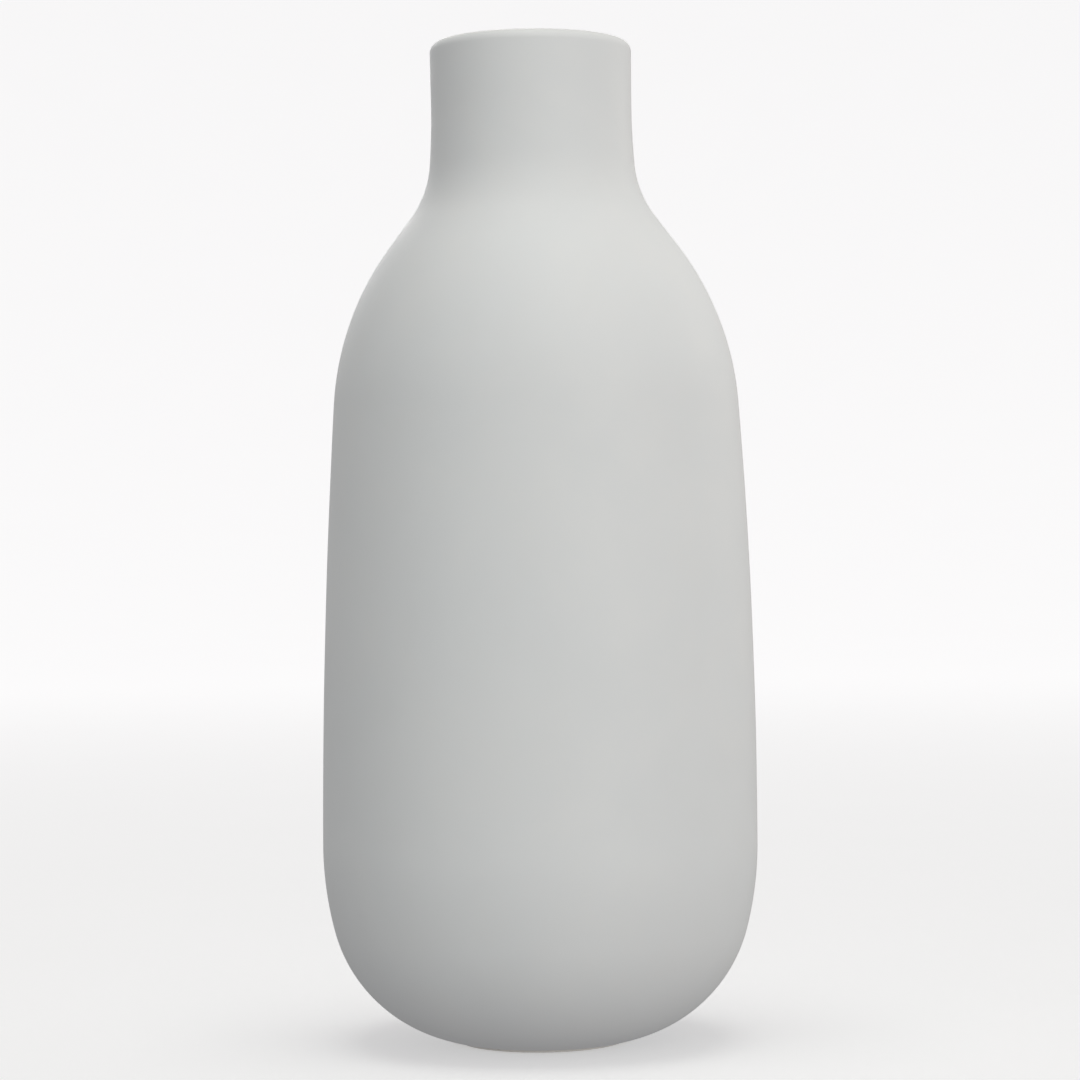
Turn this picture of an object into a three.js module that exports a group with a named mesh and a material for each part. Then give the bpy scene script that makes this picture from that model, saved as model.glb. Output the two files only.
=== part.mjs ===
// Ceramic bud vase: a slip-cast clay shell, a matt glaze over the outside and a gloss glaze inside.
// Millimetres, +Z up, origin at the middle of the foot, on the surface that the vase stands on.
//
// All three pieces are turned about Z from one outline. It starts at the foot, climbs the outside,
// rolls over the lip and comes down the inside to the floor. Each of its points knows its heading,
// so the faces inside the wall are the same points moved into the wall.

import * as THREE from "three";

// --- Driving dimensions -------------------------------------------------------------------------

const HEIGHT = 178; // foot to top of the lip
const BELLY_RADIUS = 38.7; // widest, low on the body
const NECK_RADIUS = 17.95; // narrowest, at the neck's waist
const WALL = 3.75; // clay and both glazes, the same all round as slip casting leaves it
const GLAZE = 0.35; // thickness of either glaze
const GAP = 0.3; // clear space between two pieces

const FOOT_RADIUS = 15.2; // where the outer glaze ends
const FOOT_LIFT = 0.5; // height of that edge above the surface the vase stands on
const FOOT_SETBACK = 0.4; // how far the clay foot's side stands in from that edge
const FOOT_WIDTH = 3.8; // bare clay ring that carries the vase
const RECESS_DEPTH = 1; // hollow inside that ring
const RECESS_SLOPE = 0.8; // how far the hollow's side leans in
const MOUTH_COVER = 5; // how far below the lip's round the outer glaze reaches inside

// Radii of the outline's arcs. The arc of the base follows from the radii above.
const LOWER_WALL_ARC = 61; // from the base up to the belly
const UPPER_WALL_ARC = 1180; // long, nearly straight wall
const SHOULDER_ARC = 52.3;
const NECK_FILLET = 18.3; // hollow where the shoulder runs into the neck
const WAIST_ARC = 131; // the neck's slight waist

// Headings are the outline's direction in degrees: 0 runs outwards, 90 straight up, over 90 leans in.
const LEVEL = 0;
const FOOT_HEADING = 9;
const BASE_HEADING = 75.4; // where the base's arc ends
const UP = 90; // at the belly and at the waist
const WALL_HEADING = 93.8; // where the long wall ends
const SHOULDER_HEADING = 127; // where the shoulder is steepest
const FILLET_HEADING = 94.45; // where the fillet ends
const MOUTH_HEADING = 89.4; // the neck opens slightly towards the mouth
const BACK = 180; // the inside runs the other way

// Flats that stand for the round surfaces.
const FLATS_AROUND = 40;
const FLATS_OVER_LIP = 4;
const FLAT_TURN = 10; // most that the outline turns from one flat to the next, in degrees
const FLAT_LENGTH = 40; // longest flat along the outline

// --- Outline ------------------------------------------------------------------------------------

const radians = THREE.MathUtils.degToRad;
const sin = (degrees) => Math.sin(radians(degrees));
const cos = (degrees) => Math.cos(radians(degrees));

// How far an arc of radius 1 runs outwards. A hollow arc has a negative radius and turns back.
const run = (from, to) => sin(to) - sin(from);

const BASE_ARC =
  (BELLY_RADIUS - FOOT_RADIUS - LOWER_WALL_ARC * run(BASE_HEADING, UP)) /
  run(FOOT_HEADING, BASE_HEADING);

// The straight of the shoulder takes up what the arcs leave between the belly and the waist.
const SHOULDER_LINE =
  (NECK_RADIUS -
    BELLY_RADIUS -
    UPPER_WALL_ARC * run(UP, WALL_HEADING) -
    SHOULDER_ARC * run(WALL_HEADING, SHOULDER_HEADING) +
    NECK_FILLET * run(SHOULDER_HEADING, FILLET_HEADING) +
    WAIST_ARC * run(FILLET_HEADING, UP)) /
  cos(SHOULDER_HEADING);

// Walks the outline and leaves a station at the end of each flat.
class Walk {
  constructor(start) {
    this.stations = [start];
  }

  get last() {
    return this.stations.at(-1);
  }

  arc(radius, heading, flats = flatsFor(radius, heading - this.last.heading)) {
    const start = this.last;
    for (let i = 1; i <= flats; i++) {
      const turned = THREE.MathUtils.lerp(start.heading, heading, i / flats);
      const r = start.r + radius * (sin(turned) - sin(start.heading));
      const z = start.z - radius * (cos(turned) - cos(start.heading));
      this.stations.push({ r, z, heading: turned });
    }
    return this;
  }

  line(length) {
    const { r, z, heading } = this.last;
    this.stations.push({ r: r + length * cos(heading), z: z + length * sin(heading), heading });
    return this;
  }
}

function flatsFor(radius, turn) {
  const length = Math.abs(radius * radians(turn));
  return Math.ceil(Math.max(length / FLAT_LENGTH, Math.abs(turn) / FLAT_TURN));
}

// The station moved into the wall, at right angles to the surface.
function sink({ r, z, heading }, depth, turn = 0) {
  return { r: r - depth * sin(heading), z: z + depth * cos(heading), heading: heading + turn };
}

// The base's arc starts level, behind the foot. Outside it shows from the foot's edge, inside all of it.
const footEdge = { r: FOOT_RADIUS, z: FOOT_LIFT, heading: FOOT_HEADING };
const underFloor = new Walk(footEdge).arc(BASE_ARC, LEVEL).last;
const toFoot = new Walk(underFloor).arc(BASE_ARC, FOOT_HEADING);
const outer = new Walk(toFoot.last)
  .arc(BASE_ARC, BASE_HEADING)
  .arc(LOWER_WALL_ARC, UP)
  .arc(UPPER_WALL_ARC, WALL_HEADING)
  .arc(SHOULDER_ARC, SHOULDER_HEADING)
  .line(SHOULDER_LINE)
  .arc(-NECK_FILLET, FILLET_HEADING)
  .arc(-WAIST_ARC, MOUTH_HEADING);

// The straight neck fills what is left below the lip. Two of its stations mark the glazes' edges.
const lipRise = (WALL / 2) * (1 + cos(MOUTH_HEADING));
const neckLine = (HEIGHT - lipRise - outer.last.z) / sin(MOUTH_HEADING);
outer.line(neckLine - MOUTH_COVER - GAP).line(GAP).line(MOUTH_COVER);

const lip = new Walk(outer.last).arc(WALL / 2, MOUTH_HEADING + BACK, FLATS_OVER_LIP);
const outside = [...outer.stations, ...lip.stations.slice(1, -1)];
const inside = [...toFoot.stations, ...outer.stations.slice(1)]
  .map((station) => sink(station, WALL, BACK))
  .reverse();

// The outer glaze ends at the second station inside, and the inner glaze starts at the third.
const mouthInside = inside.slice(0, 2);
const belowMouth = inside.slice(2);

// --- Pieces -------------------------------------------------------------------------------------

const points = (pairs) => pairs.map(([r, z]) => new THREE.Vector2(r, z));
const skin = (stations, depth) =>
  points(stations.map((station) => sink(station, depth)).map(({ r, z }) => [r, z]));

function turned(name, profile, finish) {
  const geometry = new THREE.LatheGeometry(profile, FLATS_AROUND);
  geometry.rotateX(Math.PI / 2);
  const mesh = new THREE.Mesh(geometry, new THREE.MeshStandardMaterial(finish));
  mesh.name = name;
  return mesh;
}

// Clay: recess and foot ring, then the whole outline at the depth where the glazes leave it.
function vaseBody() {
  const wall = skin([...outside, ...inside], GLAZE + GAP);
  const ring = FOOT_RADIUS - FOOT_SETBACK;
  const foot = points([
    [0, RECESS_DEPTH],
    [ring - FOOT_WIDTH - RECESS_SLOPE, RECESS_DEPTH],
    [ring - FOOT_WIDTH, 0],
    [ring, 0],
    [ring, wall[0].y],
  ]);
  const middle = new THREE.Vector2(0, wall.at(-1).y);
  const profile = [...foot, ...wall.slice(1), middle];
  return turned("vase_body", profile, { color: 0xdcd9d2, roughness: 0.9, metalness: 0 });
}

// Outer glaze: from the foot's edge up the outside, over the lip and a little way down the mouth.
function outerGlaze() {
  const covered = [...outside, ...mouthInside];
  const profile = [...skin(covered, 0), ...skin(covered, GLAZE).reverse()];
  profile.push(profile[0].clone());
  return turned("outer_glaze", profile, { color: 0xe4e4e2, roughness: 0.75, metalness: 0 });
}

// Inner glaze: from below the outer glaze's edge down the inside and across the floor.
function innerGlaze() {
  const floor = belowMouth.at(-1).z;
  const middle = points([
    [0, floor],
    [0, floor - GLAZE],
  ]);
  const profile = [...skin(belowMouth, 0), ...middle, ...skin(belowMouth, GLAZE).reverse()];
  profile.push(profile[0].clone());
  return turned("inner_glaze", profile, { color: 0xeeeeea, roughness: 0.12, metalness: 0 });
}

const vase = new THREE.Group();
vase.add(vaseBody(), outerGlaze(), innerGlaze());

export default vase;
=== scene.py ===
"""Ceramic bud vase: finely turned clay and glazes, their procedural materials, and a soft studio."""

import math

import bmesh
import bpy
import numpy as np
from mathutils import Matrix, Vector


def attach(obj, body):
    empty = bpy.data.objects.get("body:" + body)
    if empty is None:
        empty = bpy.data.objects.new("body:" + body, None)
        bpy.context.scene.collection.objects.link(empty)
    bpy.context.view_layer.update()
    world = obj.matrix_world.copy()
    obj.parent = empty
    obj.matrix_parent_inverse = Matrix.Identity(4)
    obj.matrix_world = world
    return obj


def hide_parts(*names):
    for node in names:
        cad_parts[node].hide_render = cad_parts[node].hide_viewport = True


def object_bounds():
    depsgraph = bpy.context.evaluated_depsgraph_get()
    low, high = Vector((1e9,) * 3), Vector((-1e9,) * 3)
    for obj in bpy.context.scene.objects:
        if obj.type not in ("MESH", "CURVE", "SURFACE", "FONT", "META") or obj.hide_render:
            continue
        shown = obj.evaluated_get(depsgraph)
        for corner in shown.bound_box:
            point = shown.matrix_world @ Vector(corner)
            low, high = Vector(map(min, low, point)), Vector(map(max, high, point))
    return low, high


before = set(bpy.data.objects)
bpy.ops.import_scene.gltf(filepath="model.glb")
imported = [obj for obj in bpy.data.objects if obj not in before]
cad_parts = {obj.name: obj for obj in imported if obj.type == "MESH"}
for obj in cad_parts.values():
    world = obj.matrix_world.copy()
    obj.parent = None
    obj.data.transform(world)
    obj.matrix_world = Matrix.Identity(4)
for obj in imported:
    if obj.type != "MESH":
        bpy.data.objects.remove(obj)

CAD_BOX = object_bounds()
MM = 0.001

# --- The vase's outline, in millimetres and degrees, with the part's own dimensions -------------

HEIGHT = CAD_BOX[1].z / MM
BELLY_RADIUS = CAD_BOX[1].x / MM
NECK_RADIUS = 17.95
WALL = 3.75  # clay and both glazes
GLAZE = 0.35  # thickness of either glaze

FOOT_RADIUS = 15.2  # where the outside glaze begins
FOOT_LIFT = 0.5  # height of that edge above the surface that the vase stands on
FOOT_SETBACK = 0.4  # the clay foot stands this far inside the glaze's edge
FOOT_WIDTH = 3.8
RECESS_DEPTH = 1.0
RECESS_SLOPE = 0.8  # how far the recess's side leans in

LOWER_WALL_ARC = 61.0
UPPER_WALL_ARC = 1180.0
SHOULDER_ARC = 52.3
NECK_FILLET = 18.3
WAIST_ARC = 131.0

# Headings are the outline's direction: 0 runs outwards, 90 straight up, over 90 leans in.
FOOT_HEADING = 9.0
BASE_HEADING = 75.4
UP = 90.0
WALL_HEADING = 93.8
SHOULDER_HEADING = 127.0
FILLET_HEADING = 94.45
MOUTH_HEADING = 89.4
BACK = 180.0  # the inside runs the other way

MOUTH_COVER = 5.0  # how far below the lip's round the matt glaze reaches inside

# --- Fineness of the meshes ---------------------------------------------------------------------

SEGMENTS = 256
ROW_STEP = 1.1  # longest step along the outline
ROW_TURN = 5.0  # sharpest turn between two rows
ROW_GAP = 0.001  # rows closer than this are one
HIDDEN_STEP = 4.0  # longest step and sharpest turn of faces between clay and glaze
HIDDEN_TURN = 9.0
EDGE_ROWS = 7  # rows over a glaze's rounded edge
CORNER_ROWS = 5  # rows over a rounded corner of the clay
RECESS_ROWS = 9
AROUND = np.linspace(0, 2 * math.pi, SEGMENTS, endpoint=False)

# --- What the kiln and the hand leave, in millimetres -------------------------------------------

BOW = 0.2  # sideways bow of the axis
BOW_TURN = 1.35  # half waves of the bow between its start and the lip
OVAL = 0.12  # how far out of round the mouth is
OVAL_PHASE = 0.9  # in radians, which way it is longest
WARP_START = 35.0  # the bow and the oval begin at the belly

SURFACE_WAVE = 0.014  # swell of the glazed surface
WAVE_LENGTH = 31.0
# Each wave's pace along the outline, its number of waves round the vase, and its phase.
SWELL_WAVES = ((1.0, 2, 0.4), (0.61, -3, 2.1), (1.37, 5, 4.0))

FOOT_LINE = 0.45  # how far the glaze line wanders at the foot
MOUTH_LINE = 0.7  # and inside the mouth
LINE_FADE = 7.0  # length over which rows beside a wandering line straighten out
OVERLAP = 0.35  # how far the two glazes run into each other inside the mouth

EDGE_ROUND = 0.55  # length over which a glaze thins out at its edge
BEAD = 0.05  # extra thickness where a glaze draws back from its edge
BEAD_PLACE = 1.2
POOL = 0.5  # extra thickness of the gloss glaze round the floor's rim
POOL_PLACE = 15.0  # distance of the thickest pool from the floor's middle
POOL_WIDTH = 7.0
CLAY_CLEARANCE = 0.02  # how far the clay lies under the glazes
CLAY_ROUND = 0.35  # round of the ground foot's corners

THIN_REACH = 1.3  # how far the clay's tone shows through beside a glaze's edge
LIP_THIN = 0.45  # how much of it shows on the lip's crest


def sin(degrees):
    return math.sin(math.radians(degrees))


def cos(degrees):
    return math.cos(math.radians(degrees))


def run(start, end):
    """How far an arc of radius 1 runs outwards between two headings."""
    return sin(end) - sin(start)


class Outline:
    """A chain of arcs and lines, read by the length walked along it. The wall lies to its left."""

    def __init__(self, r, z, heading):
        self.parts = []
        self.r, self.z, self.heading = r, z, heading
        self.length = 0.0

    def add(self, length, bend):
        self.parts.append((self.length, self.r, self.z, math.radians(self.heading), bend, length))
        self.length += length
        r, z, heading = self.at(self.length)
        self.r, self.z, self.heading = float(r), float(z), math.degrees(heading)

    def arc(self, radius, heading):
        """Turns to a heading. A hollow arc has a negative radius and turns back."""
        self.add(radius * math.radians(heading - self.heading), 1 / radius)

    def line(self, length):
        self.add(length, 0.0)

    def at(self, walked, depth=0.0):
        """Radius, height and heading (in radians) at each length walked, at that depth in the wall."""
        starts, r, z, heading, bend, _ = np.array(self.parts).T
        which = np.clip(np.searchsorted(starts, walked, side="right") - 1, 0, len(starts) - 1)
        r, z, heading, bend = r[which], z[which], heading[which], bend[which]
        ahead = walked - starts[which]
        turned = heading + bend * ahead
        straight = bend == 0
        radius = 1 / np.where(straight, 1, bend)
        r = r + np.where(straight, ahead * np.cos(heading), radius * (np.sin(turned) - np.sin(heading)))
        z = z + np.where(straight, ahead * np.sin(heading), radius * (np.cos(heading) - np.cos(turned)))
        return r - depth * np.sin(turned), z + depth * np.cos(turned), turned

    def rows(self, start, end, step, turn):
        """Lengths walked from start to end, close enough together for the step and turn allowed."""
        found = [start]
        for begin, _, _, _, bend, length in self.parts:
            low, high = max(begin, start), min(begin + length, end)
            if high > low:
                turned = math.degrees(abs(bend) * (high - low))
                count = max(math.ceil((high - low) / step), math.ceil(turned / turn))
                found.extend(np.linspace(low, high, count + 1)[1:])
        return np.array(found)


def vase_outline():
    """From the foot's edge up the outside, over the lip, and down the inside to the floor's middle.
    Also gives the lengths walked to where the lip's round starts and ends."""
    base_arc = BELLY_RADIUS - FOOT_RADIUS - LOWER_WALL_ARC * run(BASE_HEADING, UP)
    base_arc /= run(FOOT_HEADING, BASE_HEADING)
    wall = [
        (base_arc, FOOT_HEADING, BASE_HEADING),
        (LOWER_WALL_ARC, BASE_HEADING, UP),
        (UPPER_WALL_ARC, UP, WALL_HEADING),
        (SHOULDER_ARC, WALL_HEADING, SHOULDER_HEADING),
    ]
    neck = [
        (-NECK_FILLET, SHOULDER_HEADING, FILLET_HEADING),
        (-WAIST_ARC, FILLET_HEADING, MOUTH_HEADING),
    ]
    to_waist = wall + neck[:1] + [(-WAIST_ARC, FILLET_HEADING, UP)]
    reach = sum(radius * run(start, end) for radius, start, end in to_waist)
    shoulder_line = (NECK_RADIUS - FOOT_RADIUS - reach) / cos(SHOULDER_HEADING)

    line = Outline(FOOT_RADIUS, FOOT_LIFT, FOOT_HEADING)
    for radius, _, end in wall:
        line.arc(radius, end)
    line.line(shoulder_line)
    for radius, _, end in neck:
        line.arc(radius, end)
    lip_rise = WALL / 2 * (1 + cos(MOUTH_HEADING))
    mouth_line = (HEIGHT - lip_rise - line.z) / sin(MOUTH_HEADING)
    line.line(mouth_line)
    lip_start = line.length
    line.arc(WALL / 2, MOUTH_HEADING + BACK)
    lip_end = line.length

    line.line(mouth_line)
    for radius, start, _ in reversed(neck):
        line.arc(-(radius - WALL), start + BACK)
    line.line(shoulder_line)
    for radius, start, _ in reversed(wall[1:]):
        line.arc(-(radius - WALL), start + BACK)
    line.arc(-(base_arc - WALL), BACK)
    line.line(line.r)
    return line, lip_start, lip_end


OUTLINE, LIP_START, LIP_END = vase_outline()
LIP_CREST = (LIP_START + LIP_END) / 2
MATT_END = LIP_END + MOUTH_COVER

# --- Making the pieces --------------------------------------------------------------------------


def wander(size, waves, phase):
    """An uneven line round the axis, between 0 and size, made of that many waves and multiples of it."""
    parts = [np.sin(n * waves * AROUND + phase * n) / n for n in (1, 2, 3)]
    return size * (0.5 + 0.5 * sum(parts) / np.abs(sum(parts)).max())


FOOT_WANDER = wander(FOOT_LINE, waves=3, phase=0.7)
MOUTH_WANDER = wander(MOUTH_LINE, waves=2, phase=1.9)


def fade(distance, reach):
    """1 at no distance, falling smoothly to 0 at that reach."""
    share = np.clip(1 - distance / reach, 0, 1)
    return share * share * (3 - 2 * share)


def swell(walked):
    """How deep the soft unevenness of a glazed surface lies: a few broad waves along and round it."""
    along = 2 * math.pi * walked / WAVE_LENGTH
    waves = sum(np.sin(pace * along + turns * AROUND + phase) for pace, turns, phase in SWELL_WAVES)
    return SURFACE_WAVE * (1 + waves / len(SWELL_WAVES))


def edge_depth(distance):
    """How deep a glaze's face lies near its edge: rounded down to the clay, with a bead beside it."""
    share = np.clip(distance / EDGE_ROUND, 0, 1)
    rounded = GLAZE * (1 - np.sqrt(1 - (1 - share) ** 2))
    place = np.maximum(distance, 0) / BEAD_PLACE
    return rounded - BEAD * (place * np.exp(1 - place)) ** 2


def edge_rows():
    """Distances from a glaze's edge of the close rows that its rounding needs."""
    return EDGE_ROUND * (1 - np.cos(np.linspace(0, math.pi / 2, EDGE_ROWS)))


def merged(*lists):
    """All rows in order, without those that fall on another."""
    rows = np.sort(np.concatenate(lists))
    return rows[np.r_[True, np.diff(rows) > ROW_GAP]]


def fired(points):
    """The same slight warp for every piece: a bowed axis and a mouth that isn't quite round."""
    x, y, z = points.T
    above = np.clip((z - WARP_START) / (HEIGHT - WARP_START), 0, 1)
    angle = np.arctan2(x, -y)
    stretch = 1 + OVAL / NECK_RADIUS * above ** 2 * np.cos(2 * angle + OVAL_PHASE)
    bow = BOW * np.sin(BOW_TURN * math.pi * above)
    return np.stack([x * stretch + bow, y * stretch, z], axis=1)


def ring_faces(count, closed):
    """Quads from each row of points to the next, and from the last back to the first if closed."""
    row = np.arange(count if closed else count - 1)[:, None]
    low, high = row * SEGMENTS, (row + 1) % count * SEGMENTS
    here = np.arange(SEGMENTS)
    there = (here + 1) % SEGMENTS
    corners = [low + here, low + there, high + there, high + here]
    return np.stack(corners, axis=-1).reshape(-1, 4).tolist()


def pole_faces(count):
    """Triangles from the first and the last row to the two points that follow all the rows."""
    first, last = count * SEGMENTS, count * SEGMENTS + 1
    top = (count - 1) * SEGMENTS
    pairs = [(here, (here + 1) % SEGMENTS) for here in range(SEGMENTS)]
    at_first = [(first, there, here) for here, there in pairs]
    at_last = [(last, top + here, top + there) for here, there in pairs]
    return at_first + at_last


def placed(name, data):
    """A new object of that mesh, light or camera, in the scene."""
    made = bpy.data.objects.new(name, data)
    bpy.context.scene.collection.objects.link(made)
    return made


def turned(name, rows, closed):
    """A mesh turned about Z from rows of (radius, height, thinness), each a number or one per segment.
    A closed profile is a ring. An open one starts and ends on the axis, and closes on a point there."""
    table = np.array([[np.broadcast_to(value, SEGMENTS) for value in row] for row in rows])
    if closed:
        poles = np.zeros((0, 3))
    else:
        poles = table[[0, -1]].mean(axis=2)
        table = table[1:-1]
    r, z, thin = table[:, 0], table[:, 1], table[:, 2]
    points = np.stack([r * np.sin(AROUND), -r * np.cos(AROUND), z], axis=-1).reshape(-1, 3)
    on_axis = np.stack([poles[:, 0], poles[:, 0], poles[:, 1]], axis=-1)
    points = fired(np.concatenate([points, on_axis])) * MM
    faces = ring_faces(len(table), closed)
    if not closed:
        faces += pole_faces(len(table))

    mesh = bpy.data.meshes.new(name)
    mesh.from_pydata(points.tolist(), [], faces)
    thinness = mesh.attributes.new("thin", "FLOAT", "POINT")
    thinness.data.foreach_set("value", np.r_[thin.ravel(), poles[:, 2]].astype(np.float32))
    mesh.shade_smooth()
    return placed(name, mesh)


def hidden_rows(start, end):
    """A glaze's back, against the clay, from its end to its start."""
    rows = OUTLINE.rows(start, end, HIDDEN_STEP, HIDDEN_TURN)[::-1]
    return [(*OUTLINE.at(walked, GLAZE)[:2], 0.0) for walked in rows]


def outer_glaze():
    """The matt coat, from just above the foot, over the lip, to a line inside the mouth."""
    rows = OUTLINE.rows(0, MATT_END, ROW_STEP, ROW_TURN)
    rows = merged(rows, edge_rows(), MATT_END - edge_rows())
    face = []
    for row in rows:
        from_foot, from_mouth = row, MATT_END - row
        from_edge = min(from_foot, from_mouth)
        walked = row + FOOT_WANDER * fade(from_foot, LINE_FADE) + MOUTH_WANDER * fade(from_mouth, LINE_FADE)
        depth = edge_depth(from_foot) + edge_depth(from_mouth)
        inland = 1 - fade(from_edge, LINE_FADE)
        r, z, _ = OUTLINE.at(walked, depth + swell(walked) * inland)
        on_lip = LIP_THIN * fade(abs(row - LIP_CREST), 2 * THIN_REACH)
        face.append((r, z, max(fade(from_edge, THIN_REACH), on_lip)))
    back = hidden_rows(2 * FOOT_LINE, MATT_END - MOUTH_LINE)
    return turned("outer_glaze_coat", face + back, closed=True)


def inner_glaze():
    """The gloss lining, from under the matt glaze's edge down to the floor, pooled round its rim."""
    start, end = MATT_END - OVERLAP, OUTLINE.length
    rows = merged(OUTLINE.rows(start, end, ROW_STEP, ROW_TURN), start + edge_rows())
    face = []
    for row in rows:
        from_mouth, from_middle = row - start, end - row
        walked = row + MOUTH_WANDER * fade(from_mouth, LINE_FADE)
        pool = POOL * math.exp(-(((from_middle - POOL_PLACE) / POOL_WIDTH) ** 2))
        inland = 1 - fade(min(from_mouth, from_middle), LINE_FADE)
        r, z, _ = OUTLINE.at(walked, edge_depth(from_mouth) - pool + swell(walked) * inland)
        face.append((r, z, fade(from_mouth, THIN_REACH)))
    back = hidden_rows(start + 2 * MOUTH_LINE, end)
    return turned("inner_glaze_lining", back + face, closed=False)


def rounded(corners):
    """A profile's points, with an arc in place of each inner corner."""
    points = [Vector(corners[0])]
    for before, corner, after in zip(corners, corners[1:], corners[2:]):
        corner = Vector(corner)
        start = corner + (Vector(before) - corner).normalized() * CLAY_ROUND
        end = corner + (Vector(after) - corner).normalized() * CLAY_ROUND
        for share in np.linspace(0, 1, CORNER_ROWS):
            points.append(start.lerp(corner, share).lerp(corner.lerp(end, share), share))
    return points + [Vector(corners[-1])]


def vase_body():
    """The fired clay: a ground foot ring round a shallow recess, and the wall between the glazes."""
    ring = FOOT_RADIUS - FOOT_SETBACK
    hollow = ring - FOOT_WIDTH
    rows = OUTLINE.rows(0, OUTLINE.length, HIDDEN_STEP, HIDDEN_TURN)
    wall = [OUTLINE.at(walked, GLAZE + CLAY_CLEARANCE)[:2] for walked in rows]
    recess = [(r, RECESS_DEPTH) for r in np.linspace(0, hollow - 2 * RECESS_SLOPE, RECESS_ROWS)]
    corners = [
        recess[-1],
        (hollow - RECESS_SLOPE, RECESS_DEPTH),
        (hollow, 0),
        (ring, 0),
        (ring, wall[0][1]),
    ]
    profile = recess[:-1] + [tuple(point) for point in rounded(corners)] + wall[1:]
    return turned("clay_body", [(r, z, 0.0) for r, z in profile], closed=False)


# --- Materials: colours are linear, and sizes are in millimetres --------------------------------

CLAY_SHOWING = (0.735, 0.712, 0.665)  # the clay's warmth where a glaze is thin
MATT_WHITES = ((0.782, 0.792, 0.784), (0.806, 0.812, 0.800))
MATT_MOTTLE = (0.792, 0.806, 0.802)
GLOSS_WHITES = ((0.80, 0.805, 0.785), (0.825, 0.825, 0.81))
GLOSS_POOL = (0.70, 0.755, 0.745)
CLAY_TONES = ((0.76, 0.735, 0.68), (0.81, 0.79, 0.74))
CLAY_SPECK = (0.60, 0.55, 0.48)
CLAY_WORN = (0.68, 0.67, 0.65)
PAPER_TONES = ((0.79, 0.79, 0.79), (0.81, 0.81, 0.81))

MATT_ROUGHNESS = (0.56, 0.67)
GLOSS_ROUGHNESS = (0.08, 0.14)
CLAY_ROUGHNESS = (0.84, 0.95)
PAPER_ROUGHNESS = 0.9

POOL_TINT = (22, 5)  # heights where the pool's tint begins, and where it is full
WEAR = (0.2, 0.02)  # heights where the foot's wear begins, and where it is full
RING_SPACING = 0.75  # between the grooves that the grinding leaves

NOISE_SPAN = (0.3, 0.7)  # nearly all of a noise's values lie in here
WAVE_TEXTURE_FACTOR = 20  # a wave texture of scale 1 has a wave every 2 pi / 20


class Nodes:
    """The node tree of a material or a world."""

    def __init__(self, owner):
        owner.use_nodes = True
        self.tree = owner.node_tree

    def node(self, kind, settings=None, inputs=None):
        made = self.tree.nodes.new(kind)
        for name, value in (settings or {}).items():
            setattr(made, name, value)
        for name, value in (inputs or {}).items():
            self.feed(made.inputs[name], value)
        return made

    def feed(self, socket, value):
        if isinstance(value, bpy.types.NodeSocket):
            self.tree.links.new(value, socket)
        else:
            socket.default_value = value

    def math(self, operation, first, second):
        made = self.node("ShaderNodeMath", {"operation": operation}, {0: first, 1: second})
        return made.outputs["Value"]

    def mix(self, share, first, second):
        """Colours, as red, green and blue or as a socket."""
        made = self.node("ShaderNodeMix", {"data_type": "RGBA"}, {"Factor": share})
        for name, color in (("A", first), ("B", second)):
            socket = next(s for s in made.inputs if s.name == name and s.type == "RGBA")
            self.feed(socket, color if isinstance(color, bpy.types.NodeSocket) else (*color, 1.0))
        return next(s for s in made.outputs if s.type == "RGBA")


class Finish(Nodes):
    """A procedural material round one Principled shader."""

    def __init__(self, name, ior):
        self.material = bpy.data.materials.new(name)
        super().__init__(self.material)
        self.shader = self.tree.nodes["Principled BSDF"]
        self.shader.inputs["IOR"].default_value = ior
        self.place = self.node("ShaderNodeTexCoord").outputs["Object"]
        self.normal = None

    def noise(self, size, detail=2.0, distortion=0.0):
        """Cloudy values round 0.5, with features of about that size."""
        inputs = {"Vector": self.place, "Scale": 1 / (size * MM)}
        inputs |= {"Detail": detail, "Distortion": distortion}
        return self.node("ShaderNodeTexNoise", None, inputs).outputs["Fac"]

    def remap(self, value, start, end, low=0.0, high=1.0):
        """The value's stretch from start to end, spread smoothly from low to high."""
        inputs = {"Value": value, "From Min": start, "From Max": end, "To Min": low, "To Max": high}
        settings = {"interpolation_type": "SMOOTHSTEP"}
        return self.node("ShaderNodeMapRange", settings, inputs).outputs["Result"]

    def patches(self, size, detail=2.0, distortion=0.0):
        """Soft patches of about that size, from 0 to 1."""
        return self.remap(self.noise(size, detail, distortion), *NOISE_SPAN)

    def tint(self, color, share, tone, strength):
        """The colour with a tone mixed in by that share, times that strength."""
        return self.mix(self.math("MULTIPLY", share, strength), color, tone)

    def height(self):
        """The point's height above the surface that the vase stands on, in millimetres."""
        parts = self.node("ShaderNodeSeparateXYZ", None, {"Vector": self.place})
        return self.math("MULTIPLY", parts.outputs["Z"], 1 / MM)

    def thin(self):
        return self.node("ShaderNodeAttribute", {"attribute_name": "thin"}).outputs["Fac"]

    def relief(self, value, rise):
        """Adds a relief whose value from 0 to 1 rises by that many millimetres."""
        inputs = {"Height": value, "Distance": rise * MM}
        if self.normal:
            inputs["Normal"] = self.normal
        self.normal = self.node("ShaderNodeBump", None, inputs).outputs["Normal"]

    def finish(self, color, roughness):
        self.feed(self.shader.inputs["Base Color"], color)
        self.feed(self.shader.inputs["Roughness"], roughness)
        self.feed(self.shader.inputs["Normal"], self.normal)
        return self.material


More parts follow.
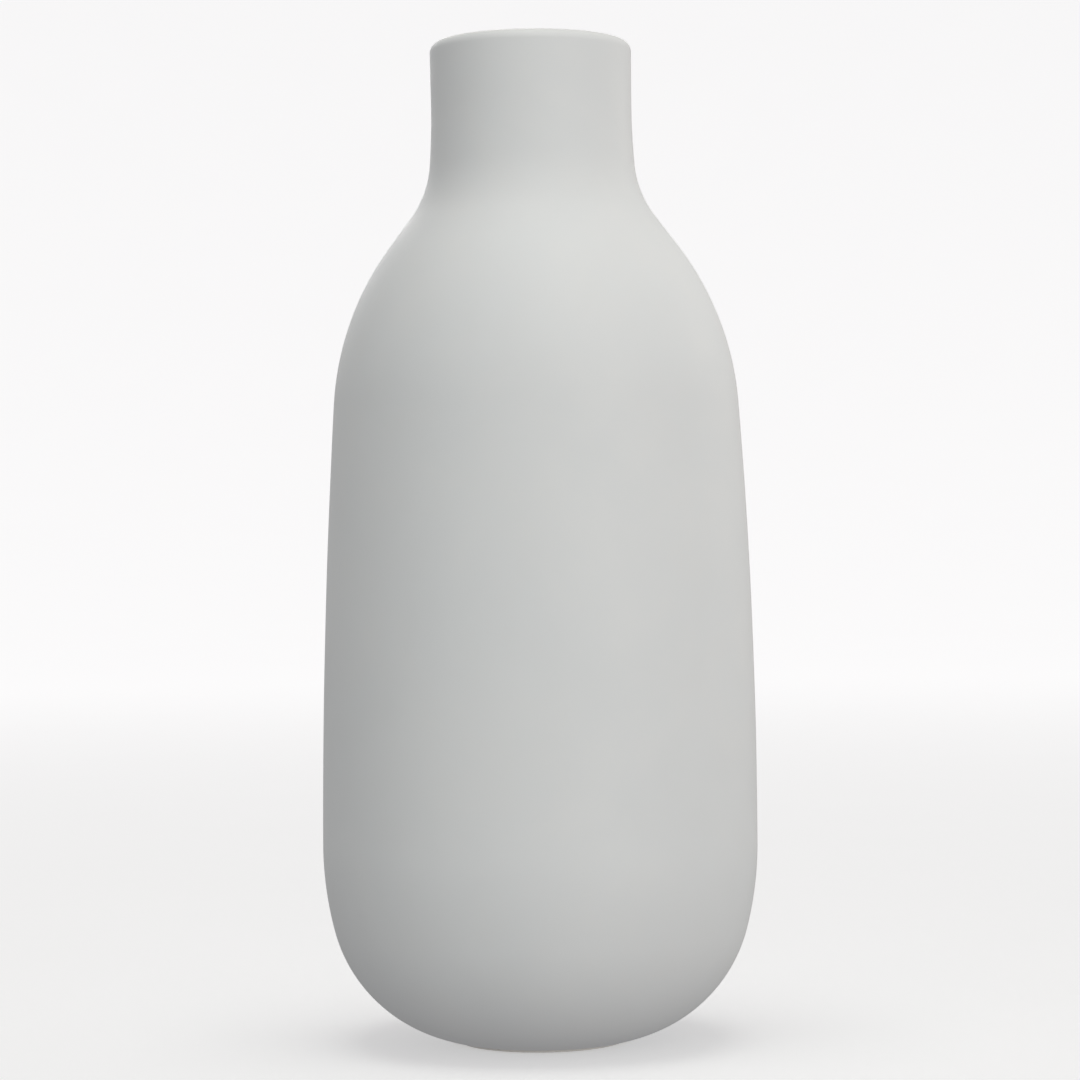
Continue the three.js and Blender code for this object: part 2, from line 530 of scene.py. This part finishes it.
def matt_glaze():
    """Satin-matt white: barely clouded, a fine dry skin, and the clay's warmth where it thins."""
    glaze = Finish("satin_matt_white", ior=1.5)
    mottle = glaze.patches(6)
    skin = glaze.noise(1.4, detail=3)
    color = glaze.mix(glaze.patches(27, detail=3, distortion=0.4), *MATT_WHITES)
    color = glaze.tint(color, mottle, MATT_MOTTLE, strength=0.35)
    patchy = glaze.remap(glaze.noise(2.2), 0.2, 0.75, low=0.25, high=0.75)
    color = glaze.tint(color, glaze.thin(), CLAY_SHOWING, strength=patchy)
    roughness = glaze.remap(glaze.math("ADD", mottle, skin), 0.3, 1.5, *MATT_ROUGHNESS)
    glaze.relief(glaze.noise(9), rise=0.03)
    glaze.relief(skin, rise=0.012)
    return glaze.finish(color, roughness)


def gloss_glaze():
    """Clear gloss over white: gently rippled, and a cool tint where it pools at the bottom."""
    glaze = Finish("clear_gloss", ior=1.52)
    color = glaze.mix(glaze.patches(14, distortion=1.0), *GLOSS_WHITES)
    color = glaze.tint(color, glaze.remap(glaze.height(), *POOL_TINT), GLOSS_POOL, strength=0.7)
    color = glaze.tint(color, glaze.thin(), CLAY_SHOWING, strength=0.5)
    roughness = glaze.remap(glaze.noise(5), *NOISE_SPAN, *GLOSS_ROUGHNESS)
    glaze.relief(glaze.noise(7, detail=1), rise=0.05)
    glaze.relief(glaze.noise(2.5, detail=1), rise=0.006)
    return glaze.finish(color, roughness)


def grinding_rings(clay):
    """Fine grooves round the axis, a little uneven, from 0 to 1."""
    scale = 2 * math.pi / WAVE_TEXTURE_FACTOR / (RING_SPACING * MM)
    settings = {"wave_type": "RINGS", "rings_direction": "Z"}
    inputs = {"Vector": clay.place, "Scale": scale, "Distortion": 1.5, "Detail": 2}
    return clay.node("ShaderNodeTexWave", settings, inputs).outputs["Fac"]


def bare_clay():
    """Fired white clay, ground on a wheel: warm, grainy, ringed, and scuffed where it stands."""
    clay = Finish("bare_clay", ior=1.45)
    grain = clay.noise(0.9, detail=3)
    color = clay.mix(clay.patches(8), *CLAY_TONES)
    specks = clay.remap(clay.noise(0.8, detail=1), 0.68, 0.76)
    color = clay.tint(color, specks, CLAY_SPECK, strength=0.45)
    scuffs = clay.remap(clay.noise(3.5), 0.4, 0.62)
    worn = clay.math("MULTIPLY", clay.remap(clay.height(), *WEAR), scuffs)
    color = clay.tint(color, worn, CLAY_WORN, strength=0.5)
    roughness = clay.remap(grain, *NOISE_SPAN, *CLAY_ROUGHNESS)
    roughness = clay.math("SUBTRACT", roughness, clay.math("MULTIPLY", worn, 0.2))
    clay.relief(grinding_rings(clay), rise=0.02)
    clay.relief(grain, rise=0.05)
    return clay.finish(color, roughness)


vase = bpy.data.collections.new("vase")
for make, finish, node, slot in (
    (outer_glaze, matt_glaze, "outer_glaze", "matt_glaze"),
    (inner_glaze, gloss_glaze, "inner_glaze", "gloss_glaze"),
    (vase_body, bare_clay, "vase_body", "clay"),
):
    piece = make()
    piece.data.materials.append(finish())
    vase.objects.link(piece)
    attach(piece, "root")
    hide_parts(node)

# --- Studio: a round sweep, soft lights, and the camera, in metres and degrees -------------------

MIDDLE = Vector((0, 0, HEIGHT * MM / 2))

SWEEP_FLAT = 1.6  # radius of the level floor
SWEEP_CURVE = 2.0  # radius of the curve up from it
SWEEP_WALL = 1.0  # height of the wall above that
SWEEP_CURVE_STEPS = 24
SWEEP_SEGMENTS = 96
SWEEP_WELD = 1e-5  # points closer than this are one
SWEEP_GLOW = (0.36, 0.62)  # near the vase, and far from it
GLOW_REACH = (0.0, 1.6)

SKY_ABOVE = (0.404, 0.394, 0.399)
SKY_BELOW = (0.298, 0.294, 0.301)
HORIZON = 0.1  # the two tones blend over this much of the sky, above and below the horizon

# Name, azimuth from the camera's side, elevation, distance, width, watts, colour.
OVERHEAD = ("overhead", 0, 85, 1.1, 0.7, 3.7, (0.985, 1.0, 0.96))
SIDE_LIGHTS = (
    ("key", 35, 5, 1.1, 0.7, 3.3, (0.98, 1.0, 0.99)),
    ("warm_side", 45, 15, 0.435, 0.25, 0.164, (1.0, 0.945, 0.88)),
    ("cool_side", -40, 7, 0.352, 0.25, 0.132, (0.9, 1.0, 0.98)),
    ("edge", 120, 15, 0.435, 0.25, 0.285, (1.0, 0.975, 0.925)),
    ("back", -170, 30, 1.1, 0.7, 4.5, (1.0, 1.0, 1.0)),
)

CAMERA_DISTANCE = 3.2174 * HEIGHT * MM
CAMERA_LENS = 106.93  # in millimetres, as is the sensor
CAMERA_SENSOR = 36
CAMERA_ROLL = 0.65
CAMERA_AIM = MIDDLE + Vector((0.553, 0, 0.212)) * MM


def sweep():
    """A floor that curves up into a wall all round, so that the ground is pale from every side."""
    profile = [(0, 0)]
    for turn in np.linspace(0, 90, SWEEP_CURVE_STEPS + 1):
        profile.append((SWEEP_FLAT + SWEEP_CURVE * sin(turn), SWEEP_CURVE * (1 - cos(turn))))
    profile.append((SWEEP_FLAT + SWEEP_CURVE, SWEEP_CURVE + SWEEP_WALL))
    shape = bmesh.new()
    points = [shape.verts.new((r, 0, z)) for r, z in profile]
    edges = [shape.edges.new(pair) for pair in zip(points, points[1:])]
    spin = {"axis": (0, 0, 1), "cent": (0, 0, 0), "angle": 2 * math.pi, "steps": SWEEP_SEGMENTS}
    bmesh.ops.spin(shape, geom=points + edges, **spin)
    bmesh.ops.remove_doubles(shape, verts=shape.verts, dist=SWEEP_WELD)
    bmesh.ops.recalc_face_normals(shape, faces=shape.faces)
    mesh = bpy.data.meshes.new("floor")
    shape.to_mesh(mesh)
    shape.free()
    mesh.shade_smooth()
    return placed("floor", mesh)


def paper():
    """The sweep's matt paper, with a glow that keeps it as pale far from the lights as near them."""
    surface = Finish("paper", ior=1.4)
    color = surface.mix(surface.noise(60, detail=3), *PAPER_TONES)
    length = surface.node("ShaderNodeVectorMath", {"operation": "LENGTH"}, {0: surface.place})
    glow = surface.remap(length.outputs["Value"], *GLOW_REACH, *SWEEP_GLOW)
    surface.shader.inputs["Emission Color"].default_value = (1, 1, 1, 1)
    surface.feed(surface.shader.inputs["Emission Strength"], glow)
    surface.relief(surface.noise(1.5), rise=0.02)
    return surface.finish(color, PAPER_ROUGHNESS)


def sky():
    """Even light from all round, weaker from below the horizon, as if back from a darker table."""
    world = bpy.data.worlds.new("studio")
    nodes = Nodes(world)
    place = nodes.node("ShaderNodeTexCoord").outputs["Generated"]
    up = nodes.node("ShaderNodeSeparateXYZ", None, {"Vector": place}).outputs["Z"]
    inputs = {"Value": up, "From Min": -HORIZON, "From Max": HORIZON}
    share = nodes.node("ShaderNodeMapRange", None, inputs).outputs["Result"]
    color = nodes.mix(share, SKY_BELOW, SKY_ABOVE)
    nodes.feed(nodes.tree.nodes["Background"].inputs["Color"], color)
    return world


def softbox(name, azimuth, elevation, distance, width, watts, color):
    """A square area light that faces the vase's middle."""
    data = bpy.data.lights.new(name, "AREA")
    data.size = width
    data.energy = watts
    data.color = color
    light = placed(name, data)
    across, up = distance * cos(elevation), distance * sin(elevation)
    light.location = MIDDLE + Vector((across * sin(azimuth), -across * cos(azimuth), up))
    light.rotation_euler = (MIDDLE - light.location).to_track_quat("-Z", "Y").to_euler()
    light.visible_camera = False
    return light


def photographer():
    """A camera at half the vase's height, almost level and rolled by a hair, as the photograph's was."""
    data = bpy.data.cameras.new("camera")
    data.lens = CAMERA_LENS
    data.sensor_width = CAMERA_SENSOR
    camera = placed("camera", data)
    camera.location = MIDDLE + Vector((0, -CAMERA_DISTANCE, 0))
    level = (CAMERA_AIM - camera.location).to_track_quat("-Z", "Y").to_matrix()
    roll = Matrix.Rotation(math.radians(-CAMERA_ROLL), 3, "Z")
    camera.rotation_euler = (level @ roll).to_euler()
    return camera


# The floor throws no light or shadow on the vase, so its underside stays as dark as the photograph's.
floor = sweep()
floor.data.materials.append(paper())
floor.visible_diffuse = False
floor.visible_glossy = False
floor.visible_shadow = False

softbox(*OVERHEAD)
for settings in SIDE_LIGHTS:
    softbox(*settings).light_linking.receiver_collection = vase

bpy.context.scene.world = sky()
bpy.context.scene.view_settings.view_transform = "Standard"
bpy.context.scene.camera = photographer()
